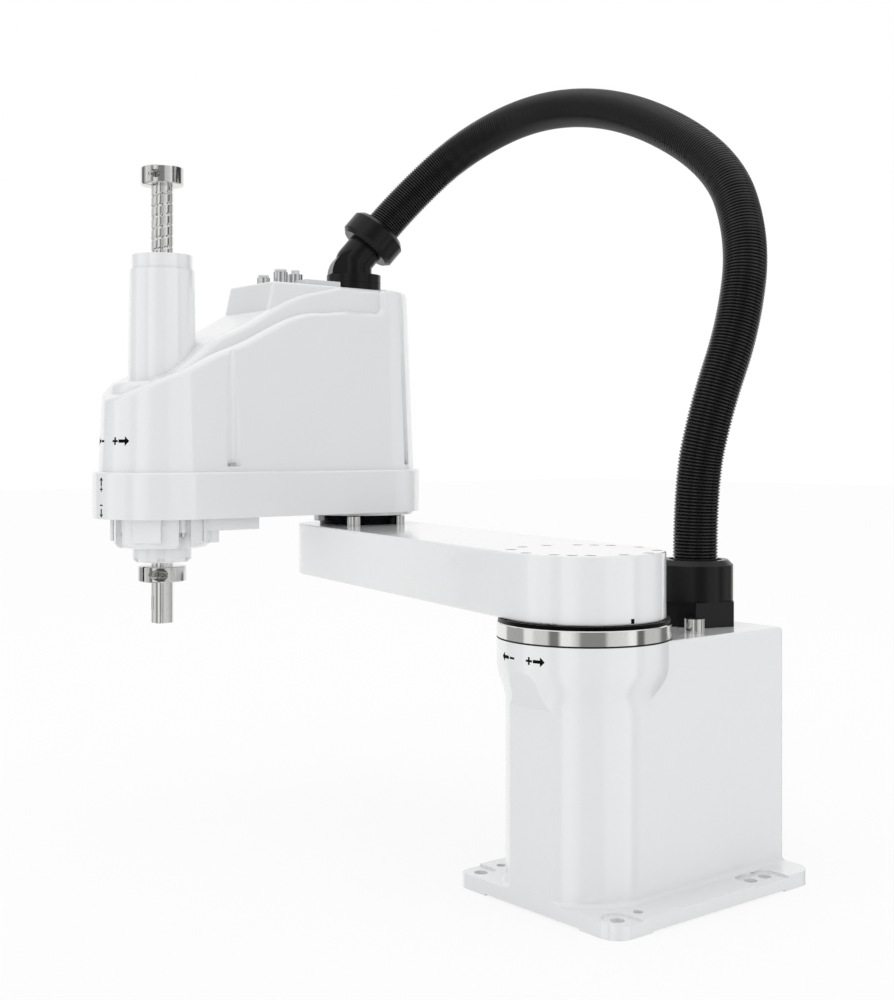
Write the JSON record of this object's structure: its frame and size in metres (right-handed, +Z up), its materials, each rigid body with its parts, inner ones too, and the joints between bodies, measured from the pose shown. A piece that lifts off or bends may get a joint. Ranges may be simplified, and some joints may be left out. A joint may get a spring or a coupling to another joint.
{
  "type": "scara robot",
  "caption": "Four-axis selective compliance arm robot: fixed base, two arms that swing flat, and a splined shaft that lifts and turns for a tool",
  "frame": {"origin": "on the underside of the base, on the first axis", "axes": "+X to the front of the base, +Y to its left, +Z up; millimetres in the source, metres in the row; the arms are in the pose of the picture, inner arm 102.5 degrees to the right, outer arm turned 102 degrees back from it"},
  "size_m": [0.5031, 0.6997, 0.846],
  "materials": {
    "white_casting": "white powder coat on cast aluminium, satin",
    "white_moulding": "white moulded cover, satin gloss",
    "light_panel": "light grey painted sheet",
    "black_anodised": "black anodised, satin",
    "machined_ring": "turned aluminium, fine tool marks",
    "motor_black": "black painted motor housing",
    "encoder_black": "black moulded cap",
    "shaft_steel": "ground hardened steel",
    "collar_steel": "turned and plated steel",
    "screw_steel": "plated socket head screws",
    "post_steel": "blackened steel",
    "seal_metal": "turned aluminium",
    "pulley_aluminium": "machined aluminium",
    "belt_rubber": "moulded toothed belt",
    "black_nylon": "black moulded nylon, satin",
    "duct_plastic": "black corrugated conduit",
    "fitting_metal": "plated metal fittings",
    "fitting_plastic": "light moulded ring and button",
    "connector_black": "black moulded connector"
  },
  "bodies": {
    "base": {"base_casting": "white_casting", "rear_panel": "light_panel", "rear_panel_screws": "screw_steel", "power_connector": "connector_black", "signal_connector": "connector_black", "air_ports": "fitting_metal", "first_axis_motor": "motor_black", "first_axis_encoder": "encoder_black", "first_axis_reducer": "machined_ring", "duct_gland_body": "black_nylon", "duct_gland_nut": "black_nylon", "first_axis_stop_posts": "post_steel", "duct": "duct_plastic"},
    "inner_arm": {"first_axis_output_flange": "black_anodised", "inner_arm_casting": "white_casting", "first_axis_flange_screws": "screw_steel", "second_axis_reducer": "machined_ring", "second_axis_stop_posts": "post_steel"},
    "outer_arm": {"second_axis_output_flange": "black_anodised", "outer_arm_casting": "white_casting", "second_axis_flange_screws": "screw_steel", "nut_housing": "white_casting", "nut_housing_screws": "screw_steel", "seal_cap": "seal_metal", "second_axis_motor": "motor_black", "second_axis_encoder": "encoder_black", "motor_plate": "machined_ring", "motor_plate_standoffs": "screw_steel", "lift_motor": "motor_black", "lift_motor_brake": "motor_black", "lift_motor_encoder": "encoder_black", "turn_motor": "motor_black", "turn_motor_encoder": "encoder_black", "turn_belt": "belt_rubber", "lift_belt": "belt_rubber", "nut_bearings": "shaft_steel", "upper_cover": "white_moulding", "cover_screws": "screw_steel", "tower_cap": "white_moulding", "elbow_flange": "black_nylon", "air_fittings": "fitting_metal", "brake_button_guard": "fitting_metal", "blanking_plate": "light_panel"},
    "turn_motor_rotor": {"turn_motor_shaft": "shaft_steel", "turn_motor_pulley": "pulley_aluminium"},
    "lift_motor_rotor": {"lift_motor_shaft": "shaft_steel", "lift_motor_pulley": "pulley_aluminium"},
    "spline_nut_body": {"spline_nut": "shaft_steel", "spline_nut_pulley": "pulley_aluminium"},
    "ball_nut_body": {"ball_nut": "shaft_steel", "ball_nut_pulley": "pulley_aluminium"},
    "shaft_body": {"splined_shaft": "shaft_steel", "upper_collar": "collar_steel", "lower_collar": "collar_steel", "collar_screws": "screw_steel"},
    "elbow": {"elbow_body": "black_nylon", "elbow_ring_nut": "black_nylon"},
    "front_collar": {"front_release_collar": "fitting_plastic"},
    "rear_collar": {"rear_release_collar": "fitting_plastic"},
    "brake_button": {"brake_release_button": "fitting_plastic"}
  },
  "joints": [
    {"name": "first_axis", "type": "hinge", "parent": "base", "child": "inner_arm", "pos_m": [0, 0, 0.26], "axis": [0, 0, 1], "range_deg": [-27.5, 232.5], "deforming": ["duct"]},
    {"name": "second_axis", "type": "hinge", "parent": "inner_arm", "child": "outer_arm", "pos_m": [-0.11363, -0.51255, 0.331], "axis": [0, 0, 1], "range_deg": [-237, 33], "deforming": ["duct"]},
    {"name": "turn_axis", "type": "hinge", "parent": "outer_arm", "child": "spline_nut_body", "pos_m": [0.16136, -0.51496, 0.32], "axis": [0, 0, 1], "range_deg": [-360, 360]},
    {"name": "lift_axis", "type": "slide", "parent": "spline_nut_body", "child": "shaft_body", "axis": [0, 0, -1], "range_m": [-0.004, 0.196]},
    {"name": "ball_nut_turn", "type": "hinge", "parent": "spline_nut_body", "child": "ball_nut_body", "pos_m": [0.16136, -0.51496, 0.4], "axis": [0, 0, 1], "range_deg": [-5691.32, 117.13]},
    {"name": "turn_motor_spin", "type": "hinge", "parent": "outer_arm", "child": "turn_motor_rotor", "pos_m": [0.00836, -0.51362, 0.367], "axis": [0, 0, 1], "range_deg": [-865, 865]},
    {"name": "lift_motor_spin", "type": "hinge", "parent": "outer_arm", "child": "lift_motor_rotor", "pos_m": [0.07436, -0.5142, 0.407], "axis": [0, 0, 1], "range_deg": [-10433.26, 213.9]},
    {"name": "elbow_swivel", "type": "hinge", "parent": "outer_arm", "child": "elbow", "pos_m": [-0.10413, -0.51264, 0.623], "axis": [0, 0, 1], "range_deg": [-34, 238], "deforming": ["duct"]},
    {"name": "front_collar_press", "type": "slide", "parent": "outer_arm", "child": "front_collar", "axis": [0, 0, -1], "range_m": [0, 0.001], "stiffness_N_per_m": 800, "springref_m": -0.001},
    {"name": "rear_collar_press", "type": "slide", "parent": "outer_arm", "child": "rear_collar", "axis": [0, 0, -1], "range_m": [0, 0.001], "stiffness_N_per_m": 800, "springref_m": -0.001},
    {"name": "brake_button_press", "type": "slide", "parent": "outer_arm", "child": "brake_button", "axis": [0, 0, -1], "range_m": [0, 0.0025], "stiffness_N_per_m": 800, "springref_m": -0.001}
  ],
  "couplings": [
    {"joint": "ball_nut_turn", "follows": "lift_axis", "rad_per_m": -506.71},
    {"joint": "lift_motor_spin", "follows": "lift_axis", "rad_per_m": -928.97},
    {"joint": "turn_motor_spin", "follows": "turn_axis", "ratio": 2.4},
    {"joint": "elbow_swivel", "follows": "second_axis", "ratio": -1}
  ]
}
